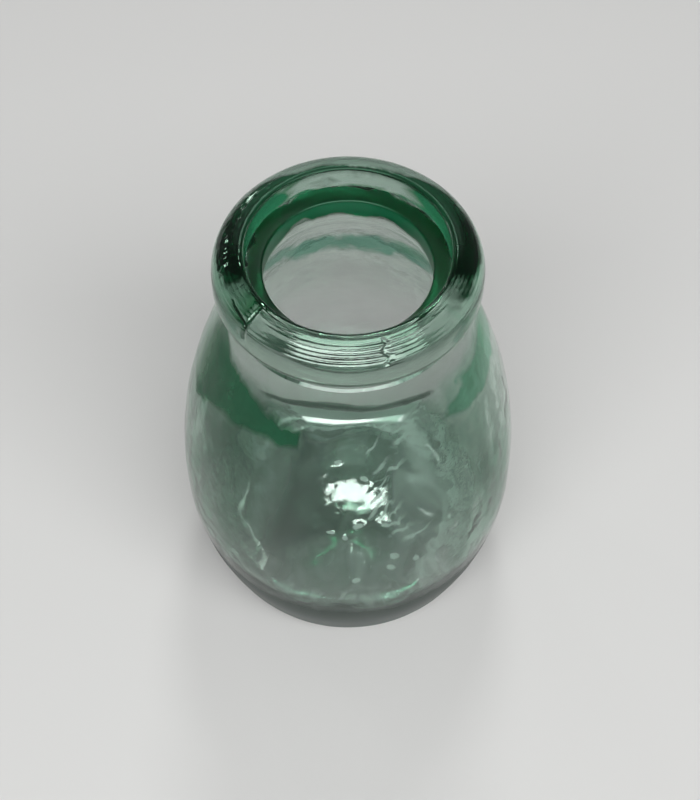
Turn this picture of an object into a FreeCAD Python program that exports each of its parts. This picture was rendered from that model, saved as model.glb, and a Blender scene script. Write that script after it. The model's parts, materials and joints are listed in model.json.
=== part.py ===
import FreeCAD, Part
import enum
import math
import os
import Sketcher

# A squat half-pint milk bottle with a wide mouth, standing on z = 0 with its axis on +Z.
# The body is blown. A second gather of glass is laid round the end of its neck and tooled into
# a lip, which leaves a seat inside the mouth for a pressed card cap.

# Driving sizes in millimetres, degrees and plain shares.
SIZES = {
    "total_height": 110.0,
    "body_radius": 39.5,
    "belly_height": 33.0,
    "foot_radius": 32.3,
    "heel_round": 7.0,
    "wall_thickness": 3.5,
    "base_thickness": 6.0,
    "floor_inset": 1.5,
    "floor_crown": 2.0,
    "inner_heel_round": 6.0,
    "push_up_radius": 24.0,
    "push_up_height": 3.0,
    "push_up_round": 1.0,
    "shoulder_share": 0.8,
    "inner_shoulder_share": 0.85,
    "cap_radius": 20.65,
    "cap_clearance": 0.35,
    "seat_depth": 5.2,
    "throat_radius": 17.5,
    "throat_length": 4.2,
    "lip_radius": 28.0,
    "lip_lap": 2.6,
    "lip_overhang": 2.8,
    "collar_height": 3.8,
    "collar_round": 1.5,
    "rim_round": 1.0,
    "mark_radius": 0.5,
    "mark_depth": 0.2,
    "mark_first_angle": 12.0,
    "mark_step_angle": 13.0,
}
MARK_COUNT = 6

# Sizes that follow from the driving ones. The outer and inner shoulders are S-curves: two arcs that
# start upright, and meet on the straight line between their ends at the given share of it.
FORMULAS = {
    "seat_radius": "cap_radius + cap_clearance",
    "crest_radius": "seat_radius + rim_round",
    "crown_radius": "lip_radius - crest_radius",
    "crown_height": "total_height - crown_radius",
    "rim_height": "total_height - rim_round",
    "lip_bottom": "crown_height - collar_height",
    "collar_foot_radius": "lip_radius - collar_round",
    "collar_round_height": "lip_bottom + collar_round",
    "mark_reach": "crown_radius + mark_radius - mark_depth",
    "ledge_height": "total_height - seat_depth",
    "throat_end": "ledge_height - throat_length",
    "neck_radius": "lip_radius - lip_overhang",
    "neck_end_radius": "seat_radius + lip_lap",
    "shoulder_radius": "body_radius - shoulder_share * (body_radius - neck_radius)",
    "shoulder_height": "belly_height + shoulder_share * (lip_bottom - belly_height)",
    "inner_radius": "body_radius - wall_thickness",
    "inner_shoulder_radius": "inner_radius - inner_shoulder_share * (inner_radius - throat_radius)",
    "inner_shoulder_height": "belly_height + inner_shoulder_share * (throat_end - belly_height)",
    "floor_radius": "foot_radius - floor_inset",
    "floor_top": "base_thickness + floor_crown",
}

# Corners on the bottle's axis or on the plane that it stands on have no size of their own there.
ON_AXIS = None
ON_GROUND = None


class Spot(enum.IntEnum):
    """Which point of a sketch edge a constraint takes hold of."""

    START = 1
    END = 2
    CENTRE = 3


class Axis(enum.IntEnum):
    """The sketch's own axes. The level one starts at the sketch's origin."""

    LEVEL = -1
    UPRIGHT = -2


def write_sheet(document):
    """Puts the driving sizes and the formulas in a spreadsheet, one alias to a cell."""
    cells = document.addObject("Spreadsheet::Sheet", "sizes")
    entries = [(name, str(value)) for name, value in SIZES.items()]
    entries += [(name, "=" + formula) for name, formula in FORMULAS.items()]
    for row, (name, _) in enumerate(entries, start=1):
        cells.setAlias(f"B{row}", name)
    for row, (name, content) in enumerate(entries, start=1):
        cells.set(f"A{row}", name)
        cells.set(f"B{row}", content)
    document.recompute()
    return cells


doc = FreeCAD.newDocument("milk_bottle")
sheet = write_sheet(doc)


def size(name):
    """Reads one size from the sheet, where None stands for a point on an axis of the sketch."""
    return 0.0 if name is None else float(sheet.get(name))


def section_sketch(body, name):
    """Starts a sketch on a body's own XZ plane, where x is the radius and y the height."""
    sketch = body.newObject("Sketcher::SketchObject", name)
    plane = next(item for item in body.Origin.OriginFeatures if item.Role == "XZ_Plane")
    sketch.AttachmentSupport = [(plane, "")]
    sketch.MapMode = "FlatFace"
    return sketch


class Profile:
    """A closed half-section, whose corners are pairs of sheet names for a radius and a height.

    Each new edge starts where the last one ended.
    """

    def __init__(self, body, name, first_corner):
        self.sketch = section_sketch(body, name)
        self.first_corner = first_corner
        self.corner = first_corner
        self.ends = []

    def point(self, corner):
        return FreeCAD.Vector(size(corner[0]), size(corner[1]), 0)

    def tie(self, edge, end, corner):
        """Ties the end of an edge to the sheet's radius and height for a corner."""
        kinds = ("DistanceX", "DistanceY")
        axes = (Axis.UPRIGHT, Axis.LEVEL)
        for kind, axis, name in zip(kinds, axes, corner):
            if name is None:
                self.sketch.addConstraint(Sketcher.Constraint("PointOnObject", edge, end, axis))
            else:
                rule = Sketcher.Constraint(kind, Axis.LEVEL, Spot.START, edge, end, size(name))
                index = self.sketch.addConstraint(rule)
                self.sketch.setExpression(f"Constraints[{index}]", f"sizes.{name}")

    def end_near(self, edge, corner):
        """Finds which end of an edge lies on a corner, because an arc always runs anticlockwise."""
        target = self.point(corner)
        return min((Spot.START, Spot.END), key=lambda end: (self.sketch.getPoint(edge, end) - target).Length)

    def join(self, first, last):
        """Joins two ends, each an edge and which end of it."""
        self.sketch.addConstraint(Sketcher.Constraint("Coincident", *first, *last))

    def add(self, geometry, corner):
        """Adds an edge from the last corner to this one, and joins it to the edge before."""
        edge = self.sketch.addGeometry(geometry, False)
        first_end = self.end_near(edge, self.corner)
        last_end = self.end_near(edge, corner)
        if self.ends:
            self.join(self.ends[-1], (edge, first_end))
        else:
            self.opening = (edge, first_end)
        if corner == self.first_corner:
            self.join(self.opening, (edge, last_end))
        self.tie(edge, last_end, corner)
        self.ends.append((edge, last_end))
        self.corner = corner
        return edge

    def line(self, *corner):
        self.add(Part.LineSegment(self.point(self.corner), self.point(corner)), corner)

    def arc(self, square_corner, kind, corner):
        """Adds an arc whose centre is level with, or plumb over or under, one of its two corners."""
        near = self.point(square_corner)
        far = self.point(corner if square_corner == self.corner else self.corner)
        across = far - near
        if kind == "Horizontal":
            centre = near + FreeCAD.Vector(across.Length ** 2 / (2 * across.x), 0, 0)
        else:
            centre = near + FreeCAD.Vector(0, across.Length ** 2 / (2 * across.y), 0)
        radius = (near - centre).Length
        outward = near + far - centre * 2
        middle = centre + outward * (radius / outward.Length)
        edge = self.add(Part.Arc(self.point(self.corner), middle, self.point(corner)), corner)
        end = self.end_near(edge, square_corner)
        self.sketch.addConstraint(Sketcher.Constraint(kind, edge, Spot.CENTRE, edge, end))

    def leave_upright(self, *corner):
        """Adds an arc that is upright where it starts."""
        self.arc(self.corner, "Horizontal", corner)

    def arrive_upright(self, *corner):
        """Adds an arc that is upright where it ends."""
        self.arc(corner, "Horizontal", corner)

    def leave_level(self, *corner):
        """Adds an arc that is level where it starts."""
        self.arc(self.corner, "Vertical", corner)


def turn(body, kind, name, sketch):
    """Turns a sketch once round the bottle's axis, as glass added or glass taken away."""
    feature = body.newObject(f"PartDesign::{kind}", name)
    feature.Profile = sketch
    feature.ReferenceAxis = (sketch, ["V_Axis"])
    feature.Angle = 360
    doc.recompute()
    if kind == "Groove" and feature.Shape.Volume >= feature.BaseFeature.Shape.Volume:
        raise RuntimeError(f"{name} takes no glass away")
    return feature


def round_ring(body, name, radius, height, fillet):
    """Rounds the ring edge that has the given radius and height."""
    base = body.Tip
    near = Part.Precision.confusion()
    rings = [
        f"Edge{index}"
        for index, edge in enumerate(base.Shape.Edges, start=1)
        if not edge.Degenerated
        and isinstance(edge.Curve, Part.Circle)
        and math.isclose(edge.Curve.Radius, size(radius), abs_tol=near)
        and math.isclose(edge.Curve.Center.z, size(height), abs_tol=near)
    ]
    feature = body.newObject("PartDesign::Fillet", name)
    feature.Base = (base, rings)
    feature.setExpression("Radius", f"sizes.{fillet}")
    doc.recompute()


def make_bottle_body():
    """The blown body: a barrel on a rounded heel, a long sloping shoulder and a tapered neck end."""
    body = doc.addObject("PartDesign::Body", "bottle_body")

    outside = Profile(body, "outside", (ON_AXIS, ON_GROUND))
    outside.line("foot_radius", ON_GROUND)
    outside.arrive_upright("body_radius", "belly_height")
    outside.leave_upright("shoulder_radius", "shoulder_height")
    outside.arrive_upright("neck_radius", "lip_bottom")
    outside.line("neck_end_radius", "ledge_height")
    outside.line(ON_AXIS, "ledge_height")
    outside.line(ON_AXIS, ON_GROUND)
    turn(body, "Revolution", "blown_form", outside.sketch)

    inside = Profile(body, "inside", (ON_AXIS, "floor_top"))
    inside.leave_level("floor_radius", "base_thickness")
    inside.arrive_upright("inner_radius", "belly_height")
    inside.leave_upright("inner_shoulder_radius", "inner_shoulder_height")
    inside.arrive_upright("throat_radius", "throat_end")
    inside.line("throat_radius", "ledge_height")
    inside.line(ON_AXIS, "ledge_height")
    inside.line(ON_AXIS, "floor_top")
    turn(body, "Groove", "milk_space", inside.sketch)

    under = Profile(body, "under", (ON_AXIS, "push_up_height"))
    under.leave_level("push_up_radius", ON_GROUND)
    under.line(ON_AXIS, ON_GROUND)
    under.line(ON_AXIS, "push_up_height")
    turn(body, "Groove", "push_up", under.sketch)

    round_ring(body, "heel", "foot_radius", ON_GROUND, "heel_round")
    round_ring(body, "bearing_edge", "push_up_radius", ON_GROUND, "push_up_round")
    round_ring(body, "inner_heel", "floor_radius", "base_thickness", "inner_heel_round")
    return body


def make_lip_ring():
    """The applied lip: a rounded crown over a plain collar, lapped over the end of the neck."""
    body = doc.addObject("PartDesign::Body", "lip_ring")

    section = Profile(body, "section", ("neck_radius", "lip_bottom"))
    section.line("collar_foot_radius", "lip_bottom")
    section.arrive_upright("lip_radius", "collar_round_height")
    section.line("lip_radius", "crown_height")
    section.leave_upright("crest_radius", "total_height")
    section.arrive_upright("seat_radius", "rim_height")
    section.line("seat_radius", "ledge_height")
    section.line("neck_end_radius", "ledge_height")
    section.line("neck_radius", "lip_bottom")
    turn(body, "Revolution", "applied_gather", section.sketch)

    turn(body, "Groove", "tool_marks", draw_tool_marks(body))
    return body


def draw_tool_marks(body):
    """Draws the round-bottomed rings that the lipping tool leaves on the crown, side by side."""
    marks = section_sketch(body, "marks")
    for index in range(MARK_COUNT):
        angle = math.radians(size("mark_first_angle") + index * size("mark_step_angle"))
        angle_formula = f"(sizes.mark_first_angle + {index} * sizes.mark_step_angle) * 1 deg"
        across = size("crest_radius") + size("mark_reach") * math.cos(angle)
        up = size("crown_height") + size("mark_reach") * math.sin(angle)
        circle = Part.Circle(FreeCAD.Vector(across, up, 0), FreeCAD.Vector(0, 0, 1), size("mark_radius"))
        edge = marks.addGeometry(circle, False)
        rules = (
            (("Radius", edge, size("mark_radius")), "sizes.mark_radius"),
            (
                ("DistanceX", Axis.LEVEL, Spot.START, edge, Spot.CENTRE, across),
                f"sizes.crest_radius + sizes.mark_reach * cos({angle_formula})",
            ),
            (
                ("DistanceY", Axis.LEVEL, Spot.START, edge, Spot.CENTRE, up),
                f"sizes.crown_height + sizes.mark_reach * sin({angle_formula})",
            ),
        )
        for rule, formula in rules:
            constraint = marks.addConstraint(Sketcher.Constraint(*rule))
            marks.setExpression(f"Constraints[{constraint}]", formula)
    return marks


pieces = [make_bottle_body(), make_lip_ring()]
doc.recompute()

for item in doc.Objects:
    if "Invalid" in item.State or "Error" in item.State:
        raise RuntimeError(f"{item.Label} failed: {item.State}")
for piece in pieces:
    if piece.Shape.isNull() or not piece.Shape.isValid() or len(piece.Shape.Solids) != 1:
        raise RuntimeError(f"{piece.Label} is not one sound solid")

os.makedirs("parts", exist_ok=True)
for piece in pieces:
    piece.Shape.exportStep(f"parts/{piece.Label}.step")
    print(f"{piece.Label}: {piece.Shape.Volume / 1000:.2f} cm3")
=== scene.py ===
import json
import math

import bpy
import numpy as np
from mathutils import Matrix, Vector, noise


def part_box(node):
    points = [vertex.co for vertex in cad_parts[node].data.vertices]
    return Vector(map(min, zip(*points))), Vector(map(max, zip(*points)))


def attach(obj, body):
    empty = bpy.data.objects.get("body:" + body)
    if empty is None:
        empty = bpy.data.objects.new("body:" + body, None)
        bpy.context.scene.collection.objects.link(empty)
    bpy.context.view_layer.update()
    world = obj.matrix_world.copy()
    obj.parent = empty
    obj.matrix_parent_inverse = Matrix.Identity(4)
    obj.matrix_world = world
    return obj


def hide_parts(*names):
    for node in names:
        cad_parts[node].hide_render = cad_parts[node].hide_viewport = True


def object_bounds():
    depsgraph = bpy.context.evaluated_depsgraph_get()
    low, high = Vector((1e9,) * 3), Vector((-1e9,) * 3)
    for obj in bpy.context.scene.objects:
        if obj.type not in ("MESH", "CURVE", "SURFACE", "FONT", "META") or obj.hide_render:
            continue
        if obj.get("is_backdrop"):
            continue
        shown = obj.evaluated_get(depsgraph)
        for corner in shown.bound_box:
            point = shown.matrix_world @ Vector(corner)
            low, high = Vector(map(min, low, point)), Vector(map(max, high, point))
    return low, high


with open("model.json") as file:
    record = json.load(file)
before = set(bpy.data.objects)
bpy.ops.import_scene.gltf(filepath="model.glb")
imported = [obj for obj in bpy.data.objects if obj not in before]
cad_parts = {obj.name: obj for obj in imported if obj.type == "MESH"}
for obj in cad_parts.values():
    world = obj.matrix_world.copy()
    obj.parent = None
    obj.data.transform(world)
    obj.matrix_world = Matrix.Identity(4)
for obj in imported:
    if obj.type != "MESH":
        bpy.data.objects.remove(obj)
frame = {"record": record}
CAD_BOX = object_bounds()

bl_info = {
    "name": "Milk Bottle",
    "version": (1, 0, 0),
    "blender": (4, 5, 0),
    "location": "View3D > Sidebar > Milk Bottle",
    "description": "Dresses a squat milk bottle in wavy green glass, with a tooled lip",
    "category": "Object",
}

LIP_LOW, LIP_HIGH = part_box("lip_ring")
BODY_LOW, BODY_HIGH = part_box("bottle_body")
IMAGE_WIDTH, IMAGE_HEIGHT = 700, 800
MM = 0.001
BODY_SEGMENTS = 320
LIP_SEGMENTS = 512
LEAST_ARC_STEPS = 4
CREASE = math.radians(45)


def span(first, last):
    """Two lengths given in millimetres."""
    return first * MM, last * MM


def turns(first, last):
    """Two angles given in degrees."""
    return math.radians(first), math.radians(last)


def mount_radius(name):
    """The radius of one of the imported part's round mounts."""
    mount = next(item for item in frame["record"]["mounts"] if item["name"] == name)
    return mount["dims"]["r_mm"] * MM


def length(description, default):
    """A length, with its default in millimetres."""
    return bpy.props.FloatProperty(
        description=description, default=default * MM, min=0.0, precision=5, unit="LENGTH"
    )


def share(description, default):
    return bpy.props.FloatProperty(
        description=description, default=default, min=0.0, max=1.0, subtype="FACTOR"
    )


def angle(description, default):
    return bpy.props.FloatProperty(description=description, default=math.radians(default), subtype="ANGLE")


def colour(description, default):
    return bpy.props.FloatVectorProperty(
        description=description, default=default, size=3, min=0.0, max=1.0, subtype="COLOR"
    )


class BottleSizes(bpy.types.PropertyGroup):
    """The sizes of the glass that the frame doesn't give."""

    belly_height: length("Height at which the body is widest", 33.0)
    foot_radius: length("Radius that the wall would reach at the table", 32.3)
    heel_round: length("Radius of the rounded heel", 7.0)
    wall: length("Thickness of the wall at the belly", 3.5)
    base: length("Thickness of the base at its rim", 6.0)
    floor_inset: length("How far the floor's rim stands inside the foot", 1.5)
    floor_crown: length("Rise of the floor at the middle", 2.0)
    inner_heel_round: length("Radius between the floor and the wall", 6.0)
    push_up_radius: length("Radius of the hollow under the base", 24.0)
    push_up_height: length("Height of the hollow under the base", 3.0)
    shoulder_share: share("Where the outer shoulder turns into the neck", 0.8)
    inner_share: share("Where the inner shoulder turns into the throat", 0.93)
    throat_length: length("Length of the straight throat under the ledge", 4.2)
    throat_round: length("Fire-polished edge between the ledge and the throat", 0.5)
    ledge_drop: length("How far the ledge falls towards the throat", 0.9)
    neck_inset: length("How far the neck stands inside the collar", 2.8)
    neck_lap: length("How far the neck's end runs under the lip", 2.6)
    collar_round: length("Radius of the collar's lower edge", 1.5)
    rim_round: length("Radius of the seat's upper edge", 1.0)
    grain: length("Spacing of the mesh along the body's section", 1.0)
    push_up_grain: length("Spacing of the mesh under the base", 3.0)
    floor_grain: length("Spacing of the mesh over the floor inside", 0.7)
    lip_grain: length("Spacing of the mesh along the lip's section", 0.4)
    crown_grain: length("Spacing of the mesh over the lip's crown", 0.11)
    skin: length("Depth kept free between the pieces and inside the solids", 0.02)
    wave_depth: length("Depth of the slow waves outside", 0.18)
    inner_wave_depth: length("Depth of the slow waves inside", 0.22)
    ripple_depth: length("Depth of the short ripples", 0.05)
    floor_wave_depth: length("Depth of the waves on the floor inside", 0.35)
    mark_depth: length("Depth of the rings left by the lipping tool", 0.075)
    mark_first: angle("Where the lowest ring lies on the crown", 27.0)
    mark_step: angle("From one ring to the next over the crown", 9.0)
    drop_height: length("Height of the drops of glass on the floor", 0.15)
    facet_turn: angle("Where the flat on the inner heel lies, round from the front", 175.0)
    facet_tilt: angle("How far down the inner heel's round the flat lies", 51.0)
    facet_half: angle("Half of the inner heel's round that the flat takes up", 24.0)
    step_height: length("Height of the step round the neck under the lip", 95.7)
    step_depth: length("How far the step goes in", 0.6)
    step_tilt: angle("Slope of the step", 33.0)
    notch_depth: length("Depth of the seam where the lip's ends lap", 0.25)


class GlassColours(bpy.types.PropertyGroup):
    """The colours of the glass and of the stage."""

    body: colour("Glass of the body at its palest", (0.64, 0.75, 0.69))
    body_streak: colour("Greener cords in the body's glass", (0.4, 0.57, 0.48))
    side: colour("Greener, streaky glass at the body's two sides", (0.07, 0.21, 0.13))
    # Painted reflection and shade: grey that stands in for the darker room mirrored in and seen through the
    # glass.
    plain: colour("Plain grey glass in front under the lip and behind", (0.6, 0.65, 0.62))
    clear: colour("Clearest glass, in front and low at the back", (0.88, 0.91, 0.9))
    # Painted shade: stands in for the shadowed table seen through the left of the floor.
    shade: colour("Darker glass at the left of the floor", (0.16, 0.21, 0.19))
    # Partly milky bloom, partly painted light: its pale patches, lines and spots on the floor stand in for
    # highlights and refracted light.
    haze: colour("Milky bloom round the heel inside", (0.86, 0.97, 0.92))
    band: colour("Green band round the shoulder", (0.0001, 0.2, 0.035))
    band_core: colour("Cloudy green inside the shoulder's band", (0.008, 0.075, 0.034))
    pale_band: colour("The shoulder's band where it is paler", (0.055, 0.32, 0.16))
    far_band: colour("The shoulder's band behind, where it is greyest", (0.04, 0.2, 0.12))
    throat: colour("Deep green of the throat and of the cords in the lip", (0.0002, 0.014, 0.003))
    throat_wall: colour("Green of the throat's straight wall", (0.0002, 0.05, 0.01))
    ledge: colour("Green of the ledge under the cap", (0.003, 0.32, 0.065))
    ledge_back: colour("Green of the ledge where it is paler, behind", (0.004, 0.36, 0.08))
    seat: colour("Green streaks on the wall of the cap's seat", (0.004, 0.12, 0.035))
    # Painted shade: a dark line standing in for the dark edge that the heel's refraction shows.
    cord: colour("Dark cord low at the back", (0.12, 0.17, 0.14))
    # Painted shade on the foot, darkest at its top and paler where it meets the table, for the table's
    # shadow seen through the thick base.
    foot: colour("Scuffed glass at the top of the foot", (0.025, 0.044, 0.035))
    foot_shade_low: colour("Paler scuffs where the foot meets the table", (0.105, 0.13, 0.123))
    lip: colour("Glass of the lip", (0.66, 0.74, 0.7))
    lip_side: colour("Glass of the lip at the sides and behind", (0.54, 0.66, 0.6))
    tooled: colour("Glass between the tool marks in front", (0.3, 0.4, 0.35))
    body_gloss: colour("Tint of what the body mirrors", (0.65, 1.0, 0.82))
    lip_gloss: colour("Tint of what the lip mirrors", (0.5, 1.0, 0.7))
    body_depth: colour("What thick body glass turns to", (0.25, 0.72, 0.46))
    lip_depth: colour("What thick lip glass turns to", (0.06, 0.5, 0.24))
    floor: colour("The plain table", (0.64, 0.64, 0.63))
    room_low: colour("Light of the room near the table", (0.2, 0.2, 0.2))
    room_high: colour("Light of the room overhead", (0.13, 0.13, 0.13))


class Section:
    """Half of a turned piece's section: points out from the axis and up, along lines and arcs."""

    def __init__(self, start, grain):
        self.points = [start]
        self.fused = []
        self.grain = grain

    def line(self, end, fused=False, grain=None):
        """Goes straight to a point. A fused stretch lies inside solid glass."""
        start = self.points[-1]
        steps = max(1, round(math.dist(start, end) / (grain or self.grain)))
        for step in range(1, steps + 1):
            part = step / steps
            self.points.append(between(start, end, part))
        self.fused += [fused] * steps

    def arc(self, centre, end, grain=None):
        """Goes the short way round a centre to a point."""
        start = self.points[-1]
        radius = math.dist(start, centre)
        first = math.atan2(start[1] - centre[1], start[0] - centre[0])
        last = math.atan2(end[1] - centre[1], end[0] - centre[0])
        turn = math.remainder(last - first, math.tau)
        steps = max(LEAST_ARC_STEPS, math.ceil(radius * abs(turn) / (grain or self.grain)))
        for step in range(1, steps):
            angle = first + turn * step / steps
            self.points.append((centre[0] + radius * math.cos(angle), centre[1] + radius * math.sin(angle)))
        self.points.append(end)
        self.fused += [False] * steps

    def leave_upright(self, end, grain=None):
        """Goes to a point along an arc that starts upright."""
        self.arc(level_centre(self.points[-1], end), end, grain)

    def arrive_upright(self, end, grain=None):
        """Goes to a point along an arc that ends upright."""
        self.arc(level_centre(end, self.points[-1]), end, grain)


def level_centre(upright, other):
    """Centre of the arc through two points that is upright at the first."""
    across = other[0] - upright[0]
    return upright[0] + math.dist(upright, other) ** 2 / (2 * across), upright[1]


def plumb_centre(level, other):
    """Centre of the arc through two points that is level at the first."""
    up = other[1] - level[1]
    return level[0], level[1] + math.dist(level, other) ** 2 / (2 * up)


def at_height(centre, rim, height):
    """The point at a height on the near side of the circle round a centre through a rim."""
    up = height - centre[1]
    return centre[0] - math.sqrt(math.dist(centre, rim) ** 2 - up * up), height


def between(first, last, part):
    return mix(first[0], last[0], part), mix(first[1], last[1], part)


def towards(start, aim, distance):
    """The point at a distance from the start in the direction of the aim."""
    part = distance / math.dist(start, aim)
    return between(start, aim, part)


def crossing(centre, radius, other_centre, other_radius):
    """The outermost of the two points where two circles cross."""
    gap = math.dist(centre, other_centre)
    along = (gap * gap + radius * radius - other_radius * other_radius) / (2 * gap)
    aside = math.sqrt(radius * radius - along * along)
    foot = towards(centre, other_centre, along)
    unit = ((other_centre[0] - centre[0]) / gap, (other_centre[1] - centre[1]) / gap)
    return max(
        (foot[0] - unit[1] * aside, foot[1] + unit[0] * aside),
        (foot[0] + unit[1] * aside, foot[1] - unit[0] * aside),
    )


def draw_body(sizes):
    """The body's section, from under the base up the outside, and down over the ledge to the floor."""
    skin = sizes.skin
    ground = BODY_LOW.z
    belly = (BODY_HIGH.x - skin, sizes.belly_height)
    foot = (sizes.foot_radius - skin, ground)
    neck = (LIP_HIGH.x - sizes.neck_inset, LIP_LOW.z)
    seat = mount_radius("cap_seat")
    neck_end = (seat + sizes.neck_lap, BODY_HIGH.z)
    throat = mount_radius("throat")
    throat_end = (throat, BODY_HIGH.z - sizes.throat_length)
    inner_belly = (belly[0] - sizes.wall, belly[1])
    floor_rim = (sizes.foot_radius - sizes.floor_inset, sizes.base)
    floor_top = (0.0, sizes.base + sizes.floor_crown)

    section = Section((0.0, sizes.push_up_height), sizes.grain)
    push_up_rim = (sizes.push_up_radius, ground)
    section.arc(plumb_centre(section.points[0], push_up_rim), push_up_rim, sizes.push_up_grain)

    wall_centre = level_centre(belly, foot)
    wall_radius = belly[0] - wall_centre[0]
    heel_height = sizes.heel_round - ground
    heel_reach = wall_radius - sizes.heel_round
    heel_out = wall_centre[0] + math.sqrt(heel_reach ** 2 - (belly[1] - heel_height) ** 2)
    heel = (heel_out, heel_height)
    section.line((heel_out, ground))
    section.arc(heel, towards(wall_centre, heel, wall_radius))
    section.arc(wall_centre, belly)
    turn = between(belly, neck, sizes.shoulder_share)
    section.leave_upright(turn)
    neck_centre = level_centre(neck, turn)
    step_foot = at_height(neck_centre, neck, sizes.step_height)
    section.arc(neck_centre, step_foot)
    step_rise = sizes.step_depth * math.tan(sizes.step_tilt)
    step_head = (step_foot[0] - sizes.step_depth, step_foot[1] + step_rise)
    section.line(step_head, grain=sizes.crown_grain)
    section.line((step_head[0], neck[1] - sizes.step_depth))
    section.line(neck)

    section.line(neck_end, fused=True)
    section.line((seat, BODY_HIGH.z), fused=True)
    edge = BODY_HIGH.z - sizes.ledge_drop - sizes.throat_round
    section.line((throat + sizes.throat_round, edge + sizes.throat_round))
    section.arc((throat + sizes.throat_round, edge), (throat, edge))
    section.line(throat_end)
    section.leave_upright(between(inner_belly, throat_end, sizes.inner_share))
    section.arrive_upright(inner_belly)

    inner_centre = level_centre(inner_belly, floor_rim)
    inner_radius = inner_belly[0] - inner_centre[0]
    floor_centre = plumb_centre(floor_top, floor_rim)
    floor_radius = floor_top[1] - floor_centre[1]
    fillet = sizes.inner_heel_round
    corner = crossing(inner_centre, inner_radius - fillet, floor_centre, floor_radius + fillet)
    section.arc(inner_centre, towards(inner_centre, corner, inner_radius))
    section.arc(corner, towards(floor_centre, corner, floor_radius))
    section.arc(floor_centre, floor_top, sizes.floor_grain)
    return section, corner


def draw_lip(sizes):
    """The lip's section, from the neck out under the collar, over the crown and down the seat."""
    skin = sizes.skin
    bottom = LIP_LOW.z
    top = LIP_HIGH.z - skin
    outside = LIP_HIGH.x - skin
    seat = mount_radius("cap_seat")
    ledge = BODY_HIGH.z + skin
    crest = seat + sizes.rim_round
    crown = outside - crest
    neck = (LIP_HIGH.x - sizes.neck_inset + skin, bottom)

    section = Section(neck, sizes.lip_grain)
    section.line((outside - sizes.collar_round, bottom))
    section.arrive_upright((outside, bottom + sizes.collar_round))
    section.line((outside, top - crown))
    section.leave_upright((crest, top), sizes.crown_grain)
    section.arrive_upright((seat, top - sizes.rim_round))
    section.line((seat, ledge))
    section.line((seat + sizes.neck_lap + skin, ledge), fused=True)
    section.line(neck, fused=True)
    section.points.pop()
    return section


def turn_section(section, segments, shift, mark):
    """Turns a section once round the axis, moves each point along its normal and marks it."""
    points = np.array(section.points)
    closed = points[0][0] > 0
    along = np.roll(points, -1, axis=0) - np.roll(points, 1, axis=0)
    if not closed:
        along[0] = points[1] - points[0]
        along[-1] = points[-1] - points[-2]
    along /= np.linalg.norm(along, axis=1)[:, None]
    normals = np.stack([along[:, 1], -along[:, 0]], axis=1)
    vertices = []
    marks = []
    rings = []
    for row, (point, normal) in enumerate(zip(points, normals)):
        if point[0] == 0:
            rings.append([len(vertices)] * segments)
            vertices.append((0.0, 0.0, point[1]))
            marks.append(0.0)
            continue
        rings.append(range(len(vertices), len(vertices) + segments))
        for step in range(segments):
            angle = math.tau * step / segments
            moved = point + normal * shift(row, angle, point)
            vertices.append((moved[0] * math.sin(angle), -moved[0] * math.cos(angle), moved[1]))
            marks.append(mark(angle, point))
    faces = []
    fused = []
    for row in range(len(points) if closed else len(points) - 1):
        lower = rings[row]
        upper = rings[(row + 1) % len(points)]
        for step in range(segments):
            after = (step + 1) % segments
            corners = dict.fromkeys((lower[step], lower[after], upper[after], upper[step]))
            faces.append(tuple(corners))
            fused.append(float(section.fused[row]))
    return vertices, faces, fused, marks


def make_piece(name, turned, material):
    """Makes a smooth mesh piece that tells the material its fused faces and its marks."""
    vertices, faces, fused, marks = turned
    mesh = bpy.data.meshes.new(name)
    mesh.from_pydata(vertices, [], faces)
    mesh.attributes.new("fused", "FLOAT", "FACE").data.foreach_set("value", fused)
    mesh.attributes.new("mark", "FLOAT", "POINT").data.foreach_set("value", marks)
    mesh.shade_smooth()
    mesh.set_sharp_from_angle(angle=CREASE)
    mesh.materials.append(material)
    piece = bpy.data.objects.new(name, mesh)
    bpy.context.scene.collection.objects.link(piece)
    return piece


# Slow waves, streaks and ripples in the wall: millimetres across, millimetres up and a seed.
OUTER_WAVES = ((10.0, 15.0, 3.0), (3.2, 22.0, 5.0), (3.4, 3.0, 7.0))
INNER_WAVES = ((9.0, 14.0, 11.0), (3.0, 20.0, 13.0), (3.0, 2.6, 17.0))

# Drops of glass on the floor inside, across and along from its middle, in millimetres.
DROP_PLACES = (
    (-2.4, 13.1), (-5.3, -9.2), (-0.9, -11.1), (2.9, -6.6), (9.4, -6.6),
    (11.8, -15.4), (17.6, -16.4), (2.1, -21.6), (10.9, -18.4), (3.8, 7.5),
)

# Places on the lip, in degrees round from the front and in degrees up over the crown.
SEAM_JOIN = (-48.5, 39)
SEAM_ENDS = ((-62, 50), (-48, 86), (-47.5, 8))
FLAW = (17, 52)
PITS = ((-134, 84), (-126, 77), (-118, 68), (-111, 74), (-99, 58), (-81, 47), (-70, 62), (64, 58))


def wave(angle, point, across, up, seed):
    """Smooth noise over a turned surface, between -1 and 1. Its waves are sized in millimetres."""
    around = Vector((math.sin(angle), -math.cos(angle), 0.0)) * (point[0] / (across * MM))
    return noise.noise(around + Vector((seed, seed, point[1] / (up * MM))))


def fade(value, low, high):
    """Rises smoothly from 0 at the low value to 1 at the high one."""
    part = min(1.0, max(0.0, (value - low) / (high - low)))
    return part * part * (3 - 2 * part)


def mix(first, last, part):
    """Goes from the first number to the last as the part goes from 0 to 1."""
    return first + (last - first) * part


def bump_at(away, size):
    """Height of a soft round bump, 1 at its middle."""
    return math.exp(-((away / size) ** 2))


def bead(across, along, size):
    """Height of a drop of glass, 1 at its middle and longer across than along."""
    stretch = 1.4
    return bump_at(Vector((across / stretch, along)).length, size)


def level_place(angle, point):
    """How far a turned point lies across and along from the axis."""
    return point[0] * math.sin(angle), -point[0] * math.cos(angle)


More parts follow.
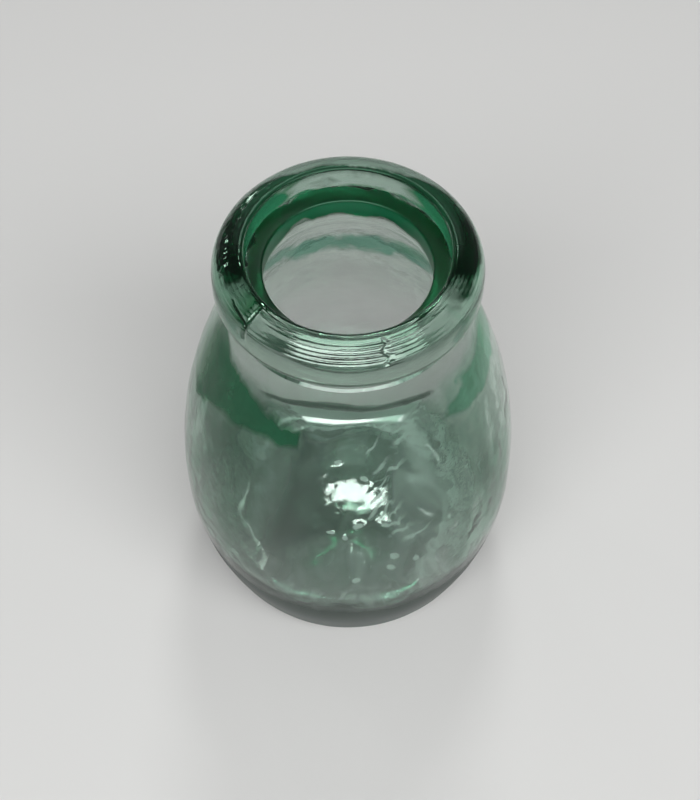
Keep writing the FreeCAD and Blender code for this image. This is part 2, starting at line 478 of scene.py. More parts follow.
def body_waves(sizes, section, inner_heel):
    """How far the waves in the glass move each point of the body, and which points are drops."""
    heights = [point[1] for point in section.points]
    top = heights.index(max(heights))
    drops = [Vector(place) * MM for place in DROP_PLACES]
    in_front = (0.6, 0.88)
    calm_share = 0.85

    def front_calm(angle):
        return 1 - calm_share * fade(math.cos(angle), *in_front)

    def blown(angle, point, waves, depth, streak_share):
        """The slow waves, and the streaks and ripples together."""
        slow, streak, ripple = (wave(angle, point, *item) for item in waves)
        return depth * slow, depth * (streak_share * streak) + sizes.ripple_depth * ripple

    def outside(angle, point):
        above_heel = span(2.5, 9.0)
        under_step = span(88.0, 94.0)
        on_shoulder = span(70.0, 85.0)
        shoulder_calm = 0.8
        streak_share = 0.4
        still = fade(point[1], *above_heel) * (1 - fade(point[1], *under_step))
        slow, short = blown(angle, point, OUTER_WAVES, sizes.wave_depth, streak_share)
        calm = (1 - shoulder_calm * fade(point[1], *on_shoulder)) * front_calm(angle)
        deepest = sizes.wave_depth * (1 + streak_share) + sizes.ripple_depth
        return still * min(0.0, slow + short * calm - deepest)

    def inside(angle, point):
        up_the_wall = span(55.0, 75.0)
        in_the_throat = span(91.0, 100.0)
        wall_calm = 0.6
        streak_share = 0.5
        still = 1 - wall_calm * fade(point[1], *up_the_wall)
        still -= (1 - wall_calm) * fade(point[1], *in_the_throat)
        slow, short = blown(angle, point, INNER_WAVES, sizes.inner_wave_depth, streak_share)
        return still * (slow + short * front_calm(angle))

    def floor(angle, point):
        wave_length = 7.0 * MM
        wave_seed = Vector((2.0, 9.0, 4.0))
        wave_shares = (0.07, 0.17)
        ridge_lean = (-0.4, 0.9)
        ridge_gap = 3.0 * MM
        ridge_shares = (0.015, 0.065)
        drift = 4.0
        drift_length = 5.0 * MM
        right_half = span(7.0, 15.0)
        drop_size = 1.2 * MM
        across, along = level_place(angle, point)
        spot = Vector((across, along, 0.0))
        right = fade(across, *right_half)
        slow = mix(*wave_shares, right) * noise.noise(spot / wave_length + wave_seed)
        count = (across * ridge_lean[0] + along * ridge_lean[1]) / ridge_gap
        ridge = math.sin(math.tau * count + drift * noise.noise(spot / drift_length))
        height = sizes.floor_wave_depth * (slow + mix(*ridge_shares, right) * ridge)
        for drop in drops:
            height += sizes.drop_height * bead(across - drop.x, along - drop.y, drop_size)
        return height

    # Marks the drops of glass, where the floor's painted glints lie.
    def mark(angle, point):
        floor_heights = span(5.0, 12.0)
        floor_reach = 28.0 * MM
        drop_size = 1.0 * MM
        if not floor_heights[0] < point[1] < floor_heights[1] or point[0] > floor_reach:
            return 0.0
        across, along = level_place(angle, point)
        return max(bead(across - drop.x, along - drop.y, drop_size) for drop in drops)

    def facet(point, behind):
        tilt = math.atan2(inner_heel[1] - point[1], point[0] - inner_heel[0])
        off = abs(tilt - sizes.facet_tilt)
        if point[0] < inner_heel[0] or off > sizes.facet_half:
            return 0.0
        return behind * sizes.inner_heel_round * (1 - math.cos(sizes.facet_half) / math.cos(off))

    def shift(row, angle, point):
        wall_foot = 20.0 * MM
        floor_edge = span(8.0, 12.0)
        facet_ends = turns(24, 28)
        facet_foot = span(22.0, 25.0)
        facet_head = span(14.0, 20.0)
        if row < top:
            return outside(angle, point)
        if point[1] > wall_foot:
            return inside(angle, point)
        behind = 1 - fade(abs(math.remainder(angle - sizes.facet_turn, math.tau)), *facet_ends)
        low = 1 - fade(point[1], *floor_edge)
        waves = floor(angle, point) * low + inside(angle, point) * (1 - low)
        by_facet = behind * fade(point[0], *facet_foot) * (1 - fade(point[1], *facet_head))
        return waves * (1 - calm_share * by_facet) + facet(point, behind)

    return shift, mark


def to_stroke(place, start, end):
    """How far a place lies from a stroke drawn between two others."""
    along = end - start
    part = min(1.0, max(0.0, (place - start).dot(along) / along.length_squared))
    return (place - start - along * part).length


def lip_marks(sizes):
    """How far the tool, the lapped seam and a flaw move each point of the lip, and which are the seam."""
    crest = mount_radius("cap_seat") + sizes.rim_round
    crown = LIP_HIGH.x - sizes.skin - crest
    crown_height = LIP_HIGH.z - sizes.skin - crown
    round_about = crest + crown / 2
    inner_end = crest - 0.1 * MM
    lower_end = crown_height - 2.4 * MM

    def spot(turn, climb):
        return Vector((math.radians(turn) * round_about, math.radians(climb) * crown))

    join = spot(*SEAM_JOIN)
    seam_ends = [spot(*place) for place in SEAM_ENDS]
    flaw = spot(*FLAW)
    pits = [spot(*place) for place in PITS]

    def on_the_crown(angle, point):
        turn = math.remainder(angle, math.tau)
        climb = math.atan2(point[1] - crown_height, point[0] - crest)
        return turn, climb, Vector((turn * round_about, climb * crown))

    def seam(angle, point):
        seam_width = 0.35 * MM
        if point[0] < inner_end:
            return 0.0
        _, _, place = on_the_crown(angle, point)
        return bump_at(min(to_stroke(place, end, join) for end in seam_ends), seam_width)

    def tool_rings(angle, point, turn, climb, place):
        """Rings cut by the tool, deepest in front. They slip by part of a step at the flaw."""
        wobble = 0.12
        slip = 0.4
        slip_reach = 0.3 * MM
        bite = 0.8
        bite_change = 0.5
        least_bite = 0.2
        behind_share = 0.15
        frontward = (0.1, 0.5)
        count = (climb - sizes.mark_first) / sizes.mark_step
        count += wobble * wave(angle, point, across=9.0, up=40.0, seed=23.0)
        count += slip * fade(place.x, flaw.x - slip_reach, flaw.x + slip_reach)
        ring = 1 - abs(math.sin(math.pi * count))
        bite += bite_change * wave(angle, point, across=7.0, up=2.0, seed=29.0)
        in_front = mix(behind_share, 1.0, fade(math.cos(turn), *frontward))
        return sizes.mark_depth * ring * max(least_bite, bite) * in_front

    def pinch(climb, place):
        """The flaw, where the rings were pinched into a short zigzag line."""
        depth = 0.3 * MM
        width = 0.5 * MM
        zigzag_reach = 0.5 * MM
        zigzag_turns = 12
        zigzag = zigzag_reach * math.sin(zigzag_turns * climb)
        return depth * bump_at(place.x - flaw.x - zigzag, width)

    def dents(turn, climb, place):
        """Pits, and the lumpy left side where the tool didn't reach."""
        pit_depth = 0.16 * MM
        pit_size = 0.45 * MM
        lump_depth = 0.07 * MM
        lump_size = span(1.3, 1.1)
        lump_seed = 8.0
        lumps_start = turns(60, 80)
        lumps_end = turns(142, 155)
        lumps_rise = turns(30, 45)
        lumpy = fade(-turn, *lumps_start) * (1 - fade(-turn, *lumps_end)) * fade(climb, *lumps_rise)
        lump = noise.noise(Vector((place.x / lump_size[0], place.y / lump_size[1], lump_seed)))
        pitted = sum(bump_at((place - pit).length, pit_size) for pit in pits)
        return pit_depth * pitted + lump_depth * lumpy * (1 + lump)

    def pressed(turn, climb):
        """The flat that the tool pressed on the crown in front."""
        middle = math.radians(55)
        half = math.radians(26)
        turned = math.radians(8)
        ends = turns(42, 75)
        least_cosine = 0.5
        flat = crown - crown * math.cos(half) / max(least_cosine, math.cos(climb - middle))
        return max(0.0, flat) * (1 - fade(abs(turn - turned), *ends))

    def shift(row, angle, point):
        rings_start = turns(20, 25)
        rings_end = turns(74, 82)
        collar_edge = (-0.3, 0.2)
        crest_edge = turns(84, 90)
        swell_depth = 0.06 * MM
        if point[0] < inner_end or point[1] < lower_end:
            return 0.0
        turn, climb, place = on_the_crown(angle, point)
        ringed = fade(climb, *rings_start) * (1 - fade(climb, *rings_end))
        depth = ringed * (tool_rings(angle, point, turn, climb, place) + pinch(climb, place))
        depth += sizes.notch_depth * seam(angle, point) + dents(turn, climb, place) + pressed(turn, climb)
        swell = 1 + wave(angle, point, across=10.0, up=10.0, seed=31.0)
        swell *= fade(climb, *collar_edge) * (1 - fade(climb, *crest_edge))
        return -(depth + swell_depth * swell)

    return shift, seam


class Signal:
    """A shader socket that works in Python expressions, each of which adds its Math nodes."""

    def __init__(self, tree, socket=None):
        self.tree = tree
        self.socket = socket

    def node(self, kind, settings=None, inputs=None, output=0):
        """Adds a node of any kind: its settings first, then the values or links of its sockets."""
        made = self.tree.nodes.new(kind)
        for name, value in (settings or {}).items():
            setattr(made, name, value)
        for name, value in (inputs or {}).items():
            socket = made.inputs[name]
            if isinstance(value, Signal):
                self.tree.links.new(value.socket, socket)
            elif socket.type == "RGBA":
                socket.default_value = (*value, 1.0)
            else:
                socket.default_value = value
        return Signal(self.tree, made.outputs[output] if made.outputs else None)

    def math(self, operation, *values):
        return self.node("ShaderNodeMath", {"operation": operation}, dict(enumerate(values)))

    def __add__(self, other):
        return self.math("ADD", self, other)

    __radd__ = __add__

    def __sub__(self, other):
        return self.math("SUBTRACT", self, other)

    def __rsub__(self, other):
        return self.math("SUBTRACT", other, self)

    def __mul__(self, other):
        return self.math("MULTIPLY", self, other)

    __rmul__ = __mul__

    def __truediv__(self, other):
        return self.math("DIVIDE", self, other)

    def __abs__(self):
        return self.math("ABSOLUTE", self)

    def __pow__(self, power):
        return self.math("POWER", self, power)

    def ramp(self, low, high):
        """Rises smoothly from 0 at the low value to 1 at the high one."""
        settings = {"interpolation_type": "SMOOTHSTEP"}
        inputs = {"Value": self, "From Min": low, "From Max": high}
        return self.node("ShaderNodeMapRange", settings, inputs)

    def blend(self, first, last):
        """Mixes two colours, with this socket as the factor."""
        return self.node(
            "ShaderNodeMix", {"data_type": "RGBA"}, {0: self, 6: first, 7: last}, output=2
        )

    def scaled(self, factors):
        """Multiplies a vector by three factors."""
        inputs = {0: self, 1: factors}
        return self.node("ShaderNodeVectorMath", {"operation": "MULTIPLY"}, inputs)

    def noise(self, scale, detail=2.0, distortion=0.0):
        """Noise over this vector, between 0 and 1."""
        inputs = {"Vector": self, "Scale": scale, "Detail": detail, "Distortion": distortion}
        return self.node("ShaderNodeTexNoise", {}, inputs)

    def bump(self, strength, distance):
        """A normal pushed in and out by this height."""
        inputs = {"Height": self, "Strength": strength, "Distance": distance}
        return self.node("ShaderNodeBump", {}, inputs)

    def axis(self, name):
        return self.node("ShaderNodeSeparateXYZ", {}, {"Vector": self}, output=name)


def new_material(name):
    """An empty node material, and a signal to start its expressions from."""
    material = bpy.data.materials.new(name)
    material.use_nodes = True
    material.node_tree.nodes.clear()
    return material, Signal(material.node_tree)


def finish_glass(start, surface, gloss, depth_colour, density, cover=None, crust=None):
    """Wires the glass, any crust that covers it and the colour of its thickness to the output; on the body
    the crust carries painted light and painted shade.
    """
    fused = start.node("ShaderNodeAttribute", {"attribute_name": "fused"}, output="Fac")
    glass = {"Transmission Weight": 1.0, "IOR": 1.5, "Alpha": 1 - fused}
    glass |= {"Coat IOR": 1.9, "Coat Roughness": 0.02, "Specular Tint": gloss}
    shader = start.node("ShaderNodeBsdfPrincipled", {}, glass | surface)
    if cover:
        bloom = {"Roughness": 0.5, "Specular IOR Level": 0.2, "Coat IOR": 3.6, "Coat Roughness": 0.17}
        bloom = start.node("ShaderNodeBsdfPrincipled", {}, bloom | crust)
        shader = start.node("ShaderNodeMixShader", {}, {0: cover, 1: shader, 2: bloom})
    depth = {"Color": depth_colour, "Density": density}
    volume = start.node("ShaderNodeVolumeAbsorption", {}, depth)
    start.node("ShaderNodeOutputMaterial", {}, {"Surface": shader, "Volume": volume})


class Place:
    """Where a point of the glass lies: out from the axis, up, and which side it faces."""

    def __init__(self, start):
        self.point = start.node("ShaderNodeTexCoord", output="Object")
        self.across = self.point.axis("X")
        self.along = self.point.axis("Y")
        self.up = self.point.axis("Z")
        self.out = (self.across * self.across + self.along * self.along) ** 0.5
        self.front = -1 * self.along / self.out
        self.side = self.across / self.out

    def unevenness(self, stretch, scale, detail, distortion):
        """Stretched noise about 0."""
        return self.point.scaled(stretch).noise(scale, detail, distortion) - 0.5


def left_green(place, ragged):
    """Streaky green at the left, fuller low down."""
    low = span(55.0, 30.0)
    weight = 0.75 + 1.5 * ragged + 0.25 * place.up.ramp(*low)
    return place.side.ramp(-0.3, -0.95) * weight


def right_green(place, ragged):
    """Thin green at the right, fuller low down, with a darker blot at half height."""
    low = span(50.0, 30.0)
    blot_start = span(28.0, 36.0)
    blot_end = span(64.0, 56.0)
    blot_wander = 12.0 * MM
    blot_weight = 0.8
    weight = 0.15 + 0.8 * ragged + 0.45 * place.up.ramp(*low)
    height = place.up + blot_wander * ragged
    blot = place.side.ramp(0.76, 0.86) * height.ramp(*blot_start) * height.ramp(*blot_end)
    return place.side.ramp(0.4, 0.98) * weight + blot_weight * blot * place.front.ramp(0.1, 0.3)


def tint_wall(place, colours, ragged, streak, window):
    """The wall's glass: clear in front, green at the sides, with painted grey under the lip and behind for
    the darker room mirrored in and seen through the glass, and a dark line of painted shade low at the
    back.
    """
    bib_start = span(85.0, 89.0)
    bib_wander = 6.0 * MM
    rear_start = span(14.0, 20.0)
    grey_rise = span(35.0, 70.0)
    shade_line_start = span(20.5, 21.5)
    shade_line_end = span(28.0, 26.5)
    shade_line_wander = 8.0 * MM
    tint = streak.blend(colours.body, colours.body_streak)
    tint = window.blend(tint, colours.clear)
    green = left_green(place, ragged) + right_green(place, ragged)
    tint = green.blend(tint, colours.side)
    # Painted reflection and shade: grey under the lip in front and higher up behind.
    bib = (place.up + bib_wander * ragged).ramp(*bib_start) * place.front.ramp(0.15, 0.5)
    rear = place.front.ramp(-0.3, -0.7) * place.up.ramp(*rear_start)
    grey = place.up.ramp(*grey_rise).blend(colours.clear, colours.plain)
    tint = (bib + rear).blend(tint, grey)
    # Painted shade: a dark ragged line low on the back wall.
    height = place.up + shade_line_wander * ragged
    cord = height.ramp(*shade_line_start) * height.ramp(*shade_line_end) * place.front.ramp(-0.78, -0.9)
    return cord.blend(tint, colours.cord)


def band_masks(place, ragged):
    """Where the green band lies round the shoulder: outside at the left and right, inside behind."""
    outer_slope = 0.385
    outer_edge = span(59.2, 60.2)
    height = 82.0 * MM
    wander = 6.0 * MM
    outer = (place.out + outer_slope * place.up).ramp(*outer_edge)
    off = abs(place.up + wander * ragged - height)
    taper = place.front + 0.3 * ragged

    left_edge = span(-1.0, 1.4)
    left_half = 2.4 * MM + 4.1 * MM * taper.ramp(0.97, 0.5) + 6.0 * MM * place.front.ramp(0.5, 0.2)
    left_ends = (place.side + 0.04 * ragged).ramp(-0.33, -0.35) * place.front.ramp(-0.1, 0.25)
    left = (left_half - off).ramp(*left_edge) * left_ends * outer

    right_edge = span(-0.4, 1.2)
    right_half = 4.6 * MM * taper.ramp(0.85, 0.5)
    right = (right_half - off).ramp(*right_edge) * place.side.ramp(0.3, 0.5) * outer

    behind_height = 79.5 * MM
    behind_edge = span(-2.0, 3.0)
    behind_half = 5.5 * MM + 16.0 * MM * ragged
    behind = (behind_half - abs(place.up - behind_height)).ramp(*behind_edge)
    return left, right, behind * place.front.ramp(0.0, -0.4) * (1 - outer)


def throat_mask(place, ragged):
    """Where the throat and the ledge lie, with an uneven lower edge."""
    lower_edge = span(98.8, 100.2)
    outer_edge = span(21.3, 20.6)
    slow = place.point.noise(scale=70.0, detail=2.0, distortion=0.5) - 0.5
    height = place.up + 3.0 * MM * ragged + 6.0 * MM * slow
    return height.ramp(*lower_edge) * (place.out + 4.0 * MM * ragged).ramp(*outer_edge)


def tint_throat(place, colours, ragged, throat, tint):
    """Lays the green of the throat's wall and of the ledge over the tint, all round but in front."""
    ledge_edge = span(17.5, 17.9)
    paler = place.front.ramp(-0.3, -0.9) + 1.4 * ragged
    ledge = paler.blend(colours.ledge, colours.ledge_back)
    green = place.out.ramp(*ledge_edge).blend(colours.throat_wall, ledge)
    return (throat * place.front.ramp(0.85, 0.55)).blend(tint, green)


def foot_shade_mask(place, ragged, outside):
    """Where the foot carries painted shade for the table's shadow seen through the thick base: all of it in
    front, little at the sides and behind.
    """
    top = span(25.2, 20.5)
    top_wander = 4.0 * MM
    thin = 0.12
    in_front = (place.front + 0.3 * ragged).ramp(0.0, 0.5)
    return (place.up + top_wander * ragged).ramp(*top) * outside * (thin + (1 - thin) * in_front)


def floor_shade_and_light(start, place, ragged, soft, pool, outside, facet_turn):
    """Painted shade on the floor inside, a painted highlight on the rear edge of its heel, and all of its
    milky bloom, whose pale patches and spots are painted light.
    """
    left_lean = 0.24
    left_from_middle = 18.0 * MM
    left_edge = place.across - left_lean * place.along + left_from_middle + 8.0 * MM * soft
    facing = math.cos(facet_turn) * place.front + math.sin(facet_turn) * place.side

    def shade():
        """Painted shade left of the middle."""
        right_end = span(2.0, -12.0)
        left_end = span(-1.0, 2.0)
        near_end = span(-14.0, -6.0)
        along = place.along.ramp(*near_end)
        return pool * place.across.ramp(*right_end) * left_edge.ramp(*left_end) * along

    def heel():
        """Mottled milky bloom round the heel, thicker at the right, whose pale mottling also paints in
        refracted light.
        """
        heel_edge = span(23.0, 27.0)
        mottle = place.point.noise(scale=260.0, detail=3.0, distortion=0.5).ramp(0.38, 0.66)
        return pool * place.out.ramp(*heel_edge) * mottle * (0.45 + 0.3 * place.side)

    def rear_highlight():
        """Painted highlight: bright bloom on the flat at the back of the heel."""
        lower_edge = span(27.8, 28.4)
        upper_edge = span(20.8, 19.8)
        height = place.up + 4.0 * MM * ragged
        flat = facing.ramp(0.88, 0.925) * place.out.ramp(*lower_edge) * (1 - outside)
        return flat * height.ramp(*upper_edge)

    def second_highlight():
        """Painted highlight: a thinner, broken line in front of the bright one."""
        line_radius = 26.2 * MM
        line_edge = span(0.9, 0.3)
        off = abs(place.out - line_radius + 4.0 * MM * ragged)
        return off.ramp(*line_edge) * facing.ramp(0.87, 0.92)

    def glint_dashes():
        """Painted glints: short slanting strokes in rows right of the middle, each starting at its own
        place.
        """
        row_lean = 0.9
        row_gap = 2.8 * MM
        row_wander = 3.0
        first_start = 4.0 * MM
        start_spread = 10.0 * MM
        glint_start = span(0.0, 2.0)
        glint_end = span(8.0, 3.0)
        slant = (place.along - row_lean * place.across) / row_gap + row_wander * soft
        row = slant.math("ROUND", slant)
        chance = start.node("ShaderNodeTexWhiteNoise", {"noise_dimensions": "1D"}, {"W": row})
        from_start = place.across - (first_start + start_spread * chance)
        return abs(slant - row).ramp(0.3, 0.05) * from_start.ramp(*glint_start) * from_start.ramp(*glint_end)

    def light_patches():
        """Painted light: soft pale lines and patches on the far part of the floor, and a thin patch on the
        near part.
        """
        far_part = span(-14.0, -8.0)
        near_part = span(-8.0, -15.0)
        right_part = span(6.0, 14.0)
        left_part = span(1.0, -4.0)
        near_left = span(-18.0, -4.0)
        line_lean = 0.33
        line_from_middle = 23.9 * MM
        line_edge = span(3.0, 0.0)
        off_line = abs(place.across + line_lean * place.along - line_from_middle + 12.0 * MM * soft)
        right = (0.3 + soft) * place.across.ramp(*right_part) + 0.4 * off_line.ramp(*line_edge)
        left = (0.3 + 1.2 * soft) * left_edge.ramp(*left_part)
        far = place.along.ramp(*far_part) * (0.85 * glint_dashes() + right + left + 0.5 * second_highlight())
        near = (0.4 + 0.6 * place.across.ramp(*near_left)) * (0.22 + 0.8 * soft)
        return pool * (far + place.along.ramp(*near_part) * near)

    def drops():
        """Painted glints: bloom on the drops of glass, with ragged edges."""
        mark = start.node("ShaderNodeAttribute", {"attribute_name": "mark"}, output="Fac")
        return (mark + 0.6 * ragged * mark.ramp(0.0, 0.2)).ramp(0.4, 0.7)

    rear = rear_highlight()
    return shade(), rear, heel() + rear + light_patches() + drops()


def body_glass(sizes, colours):
    """Pale blown glass with greener cords, a green throat and a green band round the shoulder, with painted
    shade on the foot and floor and painted light on the floor inside.
    """
    window_start = span(20.0, 30.0)
    outside_slope = 0.25
    outside_edge = span(30.5, 31.5)
    pool_edge = span(18.0, 13.0)
    step_edge = span(95.4, 95.7)
    foot_shade_fall = span(20.0, 4.0)
    depth_density = 16.0
    material, start = new_material("blown_glass")
    place = Place(start)
    ragged = place.unevenness((1.0, 1.0, 0.6), scale=150.0, detail=5.0, distortion=0.8)
    streak = place.unevenness((1.0, 1.0, 0.22), scale=170.0, detail=3.0, distortion=0.6).ramp(-0.08, 0.2)
    soft = place.unevenness((1.0, 0.6, 1.0), scale=120.0, detail=2.0, distortion=0.4)
    window = 0.85 * place.front.ramp(0.7, 0.9) * place.up.ramp(*window_start)
    outside = (place.out - outside_slope * place.up).ramp(*outside_edge)
    pool = place.up.ramp(*pool_edge) * (1 - outside)
    left, right, behind = band_masks(place, ragged)
    throat = throat_mask(place, ragged)
    foot = foot_shade_mask(place, ragged, outside)
    shade, rear_highlight, haze = floor_shade_and_light(start, place, ragged, soft, pool, outside, sizes.facet_turn)

    tint = tint_wall(place, colours, ragged, streak, window)
    tint = behind.blend(tint, colours.far_band)
    tint = right.blend(tint, colours.pale_band)
    tint = left.blend(tint, colours.band)
    tint = tint_throat(place, colours, ragged, throat, tint)
    # Painted shade on the foot, for the table's shadow seen through the thick base.
    tint = foot.blend(tint, colours.foot)
    # Painted shade on the floor, left of the middle.
    tint = shade.blend(tint, colours.shade)
    step = place.up.ramp(*step_edge) * place.front.ramp(0.9, 0.97)
    peel = place.point.noise(scale=380.0, detail=3.0)
    peel = peel + 0.6 * place.point.scaled((1.0, 1.0, 0.3)).noise(scale=260.0, detail=2.0)
    surface = {
        "Base Color": tint,
        "Roughness": 0.02 + 0.02 * streak + 0.2 * foot + 0.3 * throat,
        "Coat Weight": pool + 0.6 * step,
        "Normal": (peel * (1 - pool) * (1 - window)).bump(strength=0.12, distance=0.4 * MM),
    }

    # The crust: painted shade on the foot, paler towards the table, the milky bloom with its painted light,
    # and the band's cloudy core.
    foot_shade = place.up.ramp(*foot_shade_fall).blend(colours.foot, colours.foot_shade_low)
    crust_tint = foot.ramp(0.0, 0.1).blend(colours.haze, foot_shade)
    crust_tint = left.ramp(0.0, 0.1).blend(crust_tint, colours.band_core)
    crust = {"Base Color": crust_tint, "Coat Weight": rear_highlight}
    cover = haze + 0.7 * foot + (0.68 + 1.4 * ragged) * left
    finish_glass(start, surface, colours.body_gloss, colours.body_depth, depth_density, cover, crust)
    return material


def seat_mask(place, ragged):
    """Where the wall of the cap's seat is green: at the sides, and low down behind."""
    seat_edge = span(21.25, 21.05)
    low_edge = span(105.7, 104.6)
    flank = (place.front + 0.5 * ragged).ramp(-0.9, -0.72)
    low = (place.up + 4.0 * MM * ragged).ramp(*low_edge)
    green = flank + low * (1 - flank)
    return place.out.ramp(*seat_edge) * green * place.front.ramp(0.7, 0.4)


def cord_mask(place, ragged):
    """Where dark cords run round the crown, widest at the two sides."""
    outer_edge = span(23.0, 21.8)
    inner_edge = span(21.0, 21.2)
    widening = 4.5 * MM
    around = (place.front + 0.7 * ragged).ramp(0.7, 0.35)
    reach = place.out - widening * place.side * place.side + 5.0 * MM * ragged
    return around * reach.ramp(*outer_edge) * (place.out + 0.6 * MM * ragged).ramp(*inner_edge)


def tooled_mask(place):
    """The front of the crown, which the lipping tool rubbed."""
    inner_edge = span(23.2, 25.0)
    outer_edge = span(27.9, 27.5)
    return place.front.ramp(0.4, 0.75) * place.out.ramp(*inner_edge) * place.out.ramp(*outer_edge)


def lip_glass(colours):
    """The applied lip: clear in front, with dark green cords at the sides and behind."""
    worn_rise = span(109.2, 109.8)
    depth_density = 30.0
    material, start = new_material("lip_glass")
    place = Place(start)
    ragged = place.unevenness((1.0, 1.0, 2.0), scale=110.0, detail=5.0, distortion=0.8)
    cords = cord_mask(place, ragged)
    tooled = tooled_mask(place)
    seat = seat_mask(place, ragged)
    seam = start.node("ShaderNodeAttribute", {"attribute_name": "mark"}, output="Fac")
    worn = place.up.ramp(*worn_rise) * place.front.ramp(0.3, -0.2)
    tint = place.front.ramp(0.7, 0.2).blend(colours.lip, colours.lip_side)
    tint = tooled.blend(tint, colours.tooled)
    tint = cords.blend(tint, colours.throat)
    tint = seat.blend(tint, colours.seat)
    tint = seam.ramp(0.3, 0.7).blend(tint, colours.throat)
    surface = {
        "Base Color": tint,
        "Roughness": 0.025 + 0.03 * cords + 0.15 * seat + 0.3 * worn,
        "Coat Weight": tooled * (0.7 - 0.45 * place.side.ramp(0.3, 0.45)),
    }
    finish_glass(start, surface, colours.lip_gloss, colours.lip_depth, depth_density)
    return material


def settings():
    return bpy.context.scene.bottle_sizes, bpy.context.scene.glass_colours


class MILKBOTTLE_OT_blow_body(bpy.types.Operator):
    """Blows the body of the bottle"""

    bl_idname = "milk_bottle.blow_body"
    bl_label = "Blow body"

    def execute(self, context):
        sizes, colours = settings()
        section, inner_heel = draw_body(sizes)
        turned = turn_section(section, BODY_SEGMENTS, *body_waves(sizes, section, inner_heel))
        piece = make_piece("bottle_body_glass", turned, body_glass(sizes, colours))
        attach(piece, "root")
        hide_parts("bottle_body")
        return {"FINISHED"}


class MILKBOTTLE_OT_lay_lip(bpy.types.Operator):
    """Lays the lip round the end of the neck and tools it"""

    bl_idname = "milk_bottle.lay_lip"
    bl_label = "Lay lip"

    def execute(self, context):
        sizes, colours = settings()
        section = draw_lip(sizes)
        turned = turn_section(section, LIP_SEGMENTS, *lip_marks(sizes))
        piece = make_piece("lip_ring_glass", turned, lip_glass(colours))
        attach(piece, "root")
        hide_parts("lip_ring")
        return {"FINISHED"}


class MILKBOTTLE_OT_set_stage(bpy.types.Operator):
    """Sets the table, the light and the camera"""

    bl_idname = "milk_bottle.set_stage"
    bl_label = "Set stage"

    def execute(self, context):
        _, colours = settings()
        make_floor(colours)
        make_light(colours)
        make_camera()
        context.scene.view_settings.view_transform = "Standard"
        context.scene.cycles.max_bounces = 32
        context.scene.cycles.glossy_bounces = 16
        context.scene.cycles.transmission_bounces = 32
        context.scene.cycles.transparent_max_bounces = 16
        return {"FINISHED"}


def make_floor(colours):
    radius = 6.0
    clearance = 0.05 * MM
    material, start = new_material("pale_table")
    place = start.node("ShaderNodeTexCoord", output="Object")
    grain = place.noise(scale=6.0, detail=4.0)
    inputs = {"Base Color": colours.floor, "Roughness": 0.7 + 0.1 * grain}
    shader = start.node("ShaderNodeBsdfPrincipled", {}, inputs)
    start.node("ShaderNodeOutputMaterial", {}, {"Surface": shader})
    bpy.ops.mesh.primitive_circle_add(vertices=96, radius=radius, fill_type="NGON")
    floor = bpy.context.object
    floor.name = "table"
    floor.location.z = BODY_LOW.z - clearance
    floor.data.materials.append(material)
    floor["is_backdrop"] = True


def make_light(colours):
    room_rise = (-0.1, 0.9)
    world = bpy.data.worlds.new("soft_room")
    bpy.context.scene.world = world
    world.use_nodes = True
    world.node_tree.nodes.clear()
    start = Signal(world.node_tree)
    up = start.node("ShaderNodeTexCoord", output="Generated").axis("Z")
    room = up.ramp(*room_rise).blend(colours.room_low, colours.room_high)
    sky = start.node("ShaderNodeBackground", {}, {"Color": room, "Strength": 1.0})
    start.node("ShaderNodeOutputWorld", {}, {"Surface": sky})
    add_lamp("front_window", place=(0.08, -0.66, 0.95), size=(1.8, 0.48), power=16.5)
    add_lamp("back_window", place=(0.045, 0.54, 0.9), size=(0.24, 0.06), power=2.0, roll=-12.0, oval=True)
    add_lamp("side_window", place=(-0.75, 0.62, 0.55), size=(0.07, 0.07), power=0.3)
    add_lamp("far_window", place=(-0.42, 0.9, 0.4), size=(0.07, 0.07), power=0.3)


def add_lamp(name, place, size, power, roll=0.0, oval=False):
    """Adds a lamp that faces the middle of the bottle, rolled by some degrees."""
    aim = Vector((0.0, 0.0, 50.0 * MM))
    lamp = bpy.data.lights.new(name, "AREA")
    lamp.shape = "ELLIPSE" if oval else "RECTANGLE"
    lamp.size, lamp.size_y = size
    lamp.energy = power
    item = bpy.data.objects.new(name, lamp)
    item.location = place
    item.rotation_euler = (aim - item.location).to_track_quat("-Z", "Y").to_euler()
    item.rotation_euler.rotate_axis("Z", math.radians(roll))
    bpy.context.scene.collection.objects.link(item)


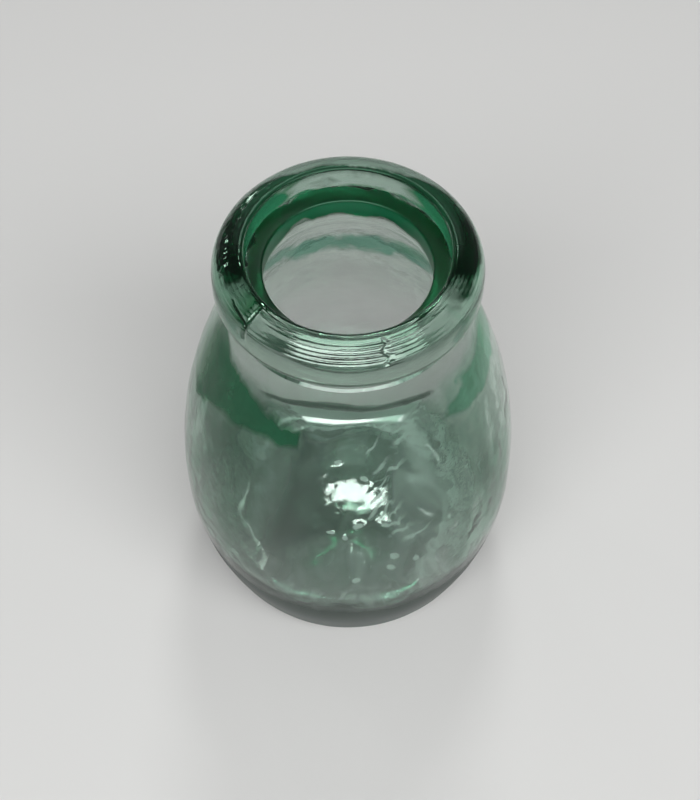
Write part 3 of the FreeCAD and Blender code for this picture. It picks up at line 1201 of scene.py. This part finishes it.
def make_camera():
    """Sets the camera at the photo's angle, with the bottle's axis on its own column of pixels."""
    focal_pixels = 1500.0
    distance = 346.9 * MM
    elevation = math.radians(56.53)
    aim = Vector((0.0, 0.0, 54.5 * MM))
    axis_pixel = 348.0
    sensor_width = 36.0
    nearest = 10.0 * MM
    camera = bpy.data.cameras.new("camera")
    camera.sensor_width = sensor_width
    camera.lens = focal_pixels / IMAGE_HEIGHT * sensor_width
    camera.shift_x = (IMAGE_WIDTH / 2 - axis_pixel) / IMAGE_HEIGHT
    camera.clip_start = nearest
    item = bpy.data.objects.new("camera", camera)
    back = Vector((0.0, -math.cos(elevation), math.sin(elevation)))
    item.location = aim + back * distance
    item.rotation_euler = (-back).to_track_quat("-Z", "Y").to_euler()
    bpy.context.scene.collection.objects.link(item)
    bpy.context.scene.camera = item


class MILKBOTTLE_PT_sidebar(bpy.types.Panel):
    """Lists the bottle's pieces and settings"""

    bl_label = "Milk Bottle"
    bl_space_type = "VIEW_3D"
    bl_region_type = "UI"
    bl_category = "Milk Bottle"

    def draw(self, context):
        for operator in OPERATORS:
            self.layout.operator(operator.bl_idname)
        for group in (context.scene.bottle_sizes, context.scene.glass_colours):
            for name in group.__annotations__:
                self.layout.prop(group, name, text=name.replace("_", " ").capitalize())


OPERATORS = (MILKBOTTLE_OT_blow_body, MILKBOTTLE_OT_lay_lip, MILKBOTTLE_OT_set_stage)
CLASSES = (BottleSizes, GlassColours, *OPERATORS, MILKBOTTLE_PT_sidebar)


def register():
    for item in CLASSES:
        bpy.utils.register_class(item)
    bpy.types.Scene.bottle_sizes = bpy.props.PointerProperty(type=BottleSizes)
    bpy.types.Scene.glass_colours = bpy.props.PointerProperty(type=GlassColours)


def unregister():
    del bpy.types.Scene.glass_colours
    del bpy.types.Scene.bottle_sizes
    for item in reversed(CLASSES):
        bpy.utils.unregister_class(item)


def main():
    register()
    bpy.ops.milk_bottle.blow_body()
    bpy.ops.milk_bottle.lay_lip()
    bpy.ops.milk_bottle.set_stage()
    boxes = {"cad": CAD_BOX, "visual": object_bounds()}
    {name: [list(corner) for corner in box] for name, box in boxes.items()}


if __name__ == "__main__":
    main()
